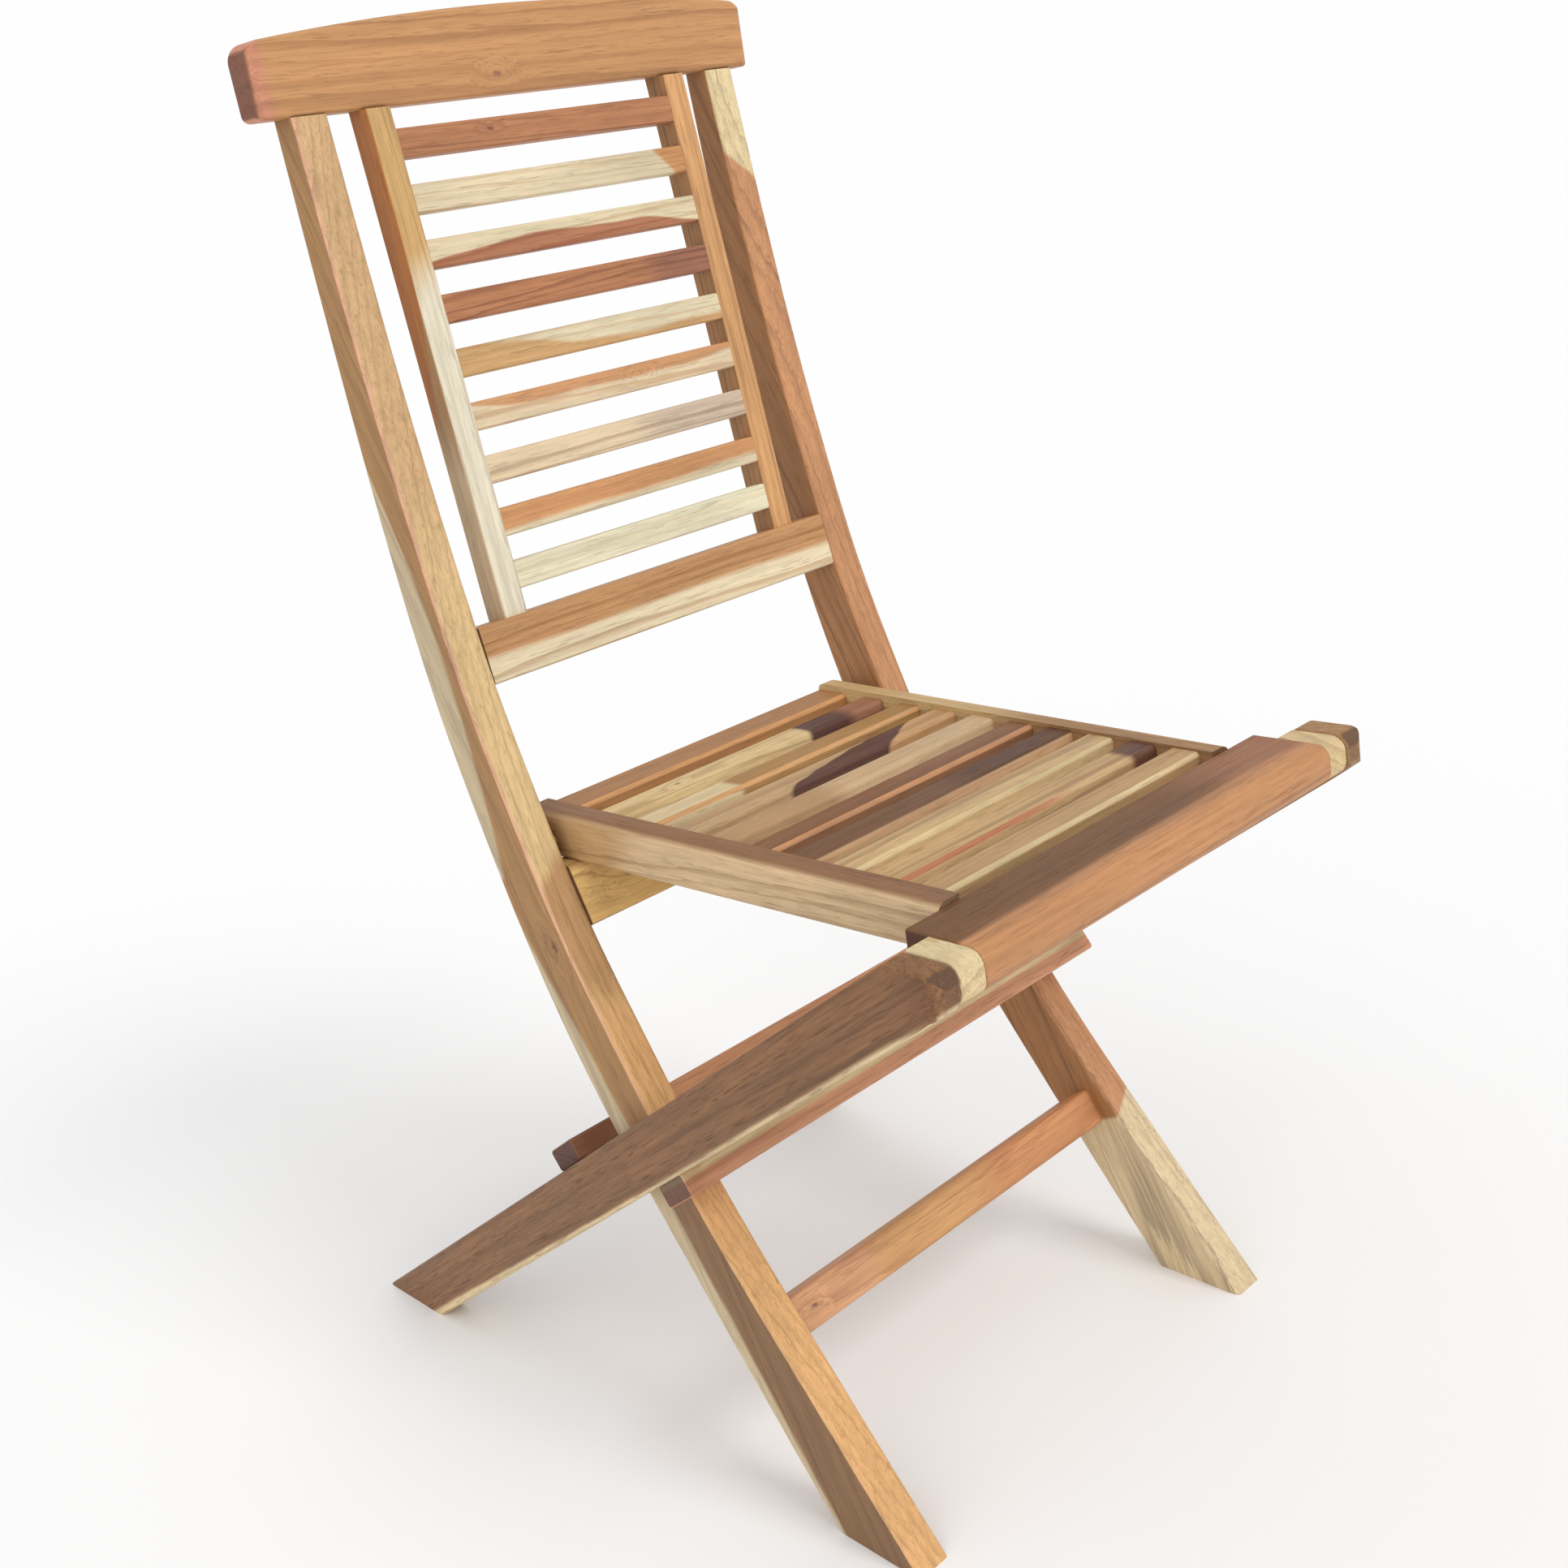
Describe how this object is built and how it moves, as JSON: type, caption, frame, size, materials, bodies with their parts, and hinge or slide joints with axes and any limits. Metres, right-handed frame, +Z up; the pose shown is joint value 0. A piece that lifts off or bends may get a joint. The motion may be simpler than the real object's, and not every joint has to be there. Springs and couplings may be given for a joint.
{
  "type": "folding chair",
  "caption": "Slatted wooden folding chair with a curved tall back, a slatted seat on two side rails, and rear legs that cross outside the uprights and carry the seat front.",
  "frame": {"origin": "on the floor under the middle of the chair's bounding box", "axes": "+Z up, -Y the way the sitter faces, +X to the sitter's left, X = 0 the plane of symmetry"},
  "size_m": [0.396, 0.634, 0.9115],
  "materials": {
    "teak": "satin oiled",
    "teak_pale": "satin oiled",
    "teak_red": "satin oiled",
    "teak_dark": "satin oiled",
    "bolt_steel": "zinc plated",
    "spacer_brass": "dull"
  },
  "bodies": {
    "back_frame": {"upright_right": "teak_red", "upright_left": "teak", "crest_rail": "teak_red", "lower_back_rail": "teak_pale", "back_stile_right": "teak", "back_stile_left": "teak", "back_slat_1": "teak_red", "back_slat_2": "teak_pale", "back_slat_3": "teak", "back_slat_4": "teak_red", "back_slat_5": "teak", "back_slat_6": "teak", "back_slat_7": "teak", "back_slat_8": "teak", "back_slat_9": "teak_pale", "seat_support_rail": "teak", "front_stretcher": "teak", "seat_pivot_bolts": "bolt_steel", "seat_pivot_spacers": "spacer_brass"},
    "seat": {"seat_side_rail_right": "teak", "seat_side_rail_left": "teak", "seat_slat_1": "teak_dark", "seat_slat_2": "teak_pale", "seat_slat_3": "teak", "seat_slat_4": "teak", "seat_slat_5": "teak_pale", "seat_slat_6": "teak_dark", "seat_slat_7": "teak_dark", "seat_slat_8": "teak", "seat_slat_9": "teak", "seat_slat_10": "teak", "seat_front_rail": "teak_dark", "seat_spacer_right": "teak_pale", "seat_spacer_left": "teak_pale", "leg_pivot_bolts": "bolt_steel"},
    "rear_legs": {"rear_leg_right": "teak_dark", "rear_leg_left": "teak_dark", "crossbar_front": "teak_red", "crossbar_rear": "teak_red", "crossbar_dowels": "teak_pale"}
  },
  "joints": [
    {"name": "seat_fold", "type": "hinge", "parent": "back_frame", "child": "seat", "pos_m": [0, 0.057, 0.398], "axis": [-1, 0, 0], "range_deg": [0, 36]},
    {"name": "leg_fold", "type": "hinge", "parent": "seat", "child": "rear_legs", "pos_m": [0, -0.297, 0.3995], "axis": [-1, 0, 0], "range_deg": [-36, 0]}
  ],
  "couplings": [
    {"joint": "leg_fold", "follows": "seat_fold", "ratio": -1}
  ]
}
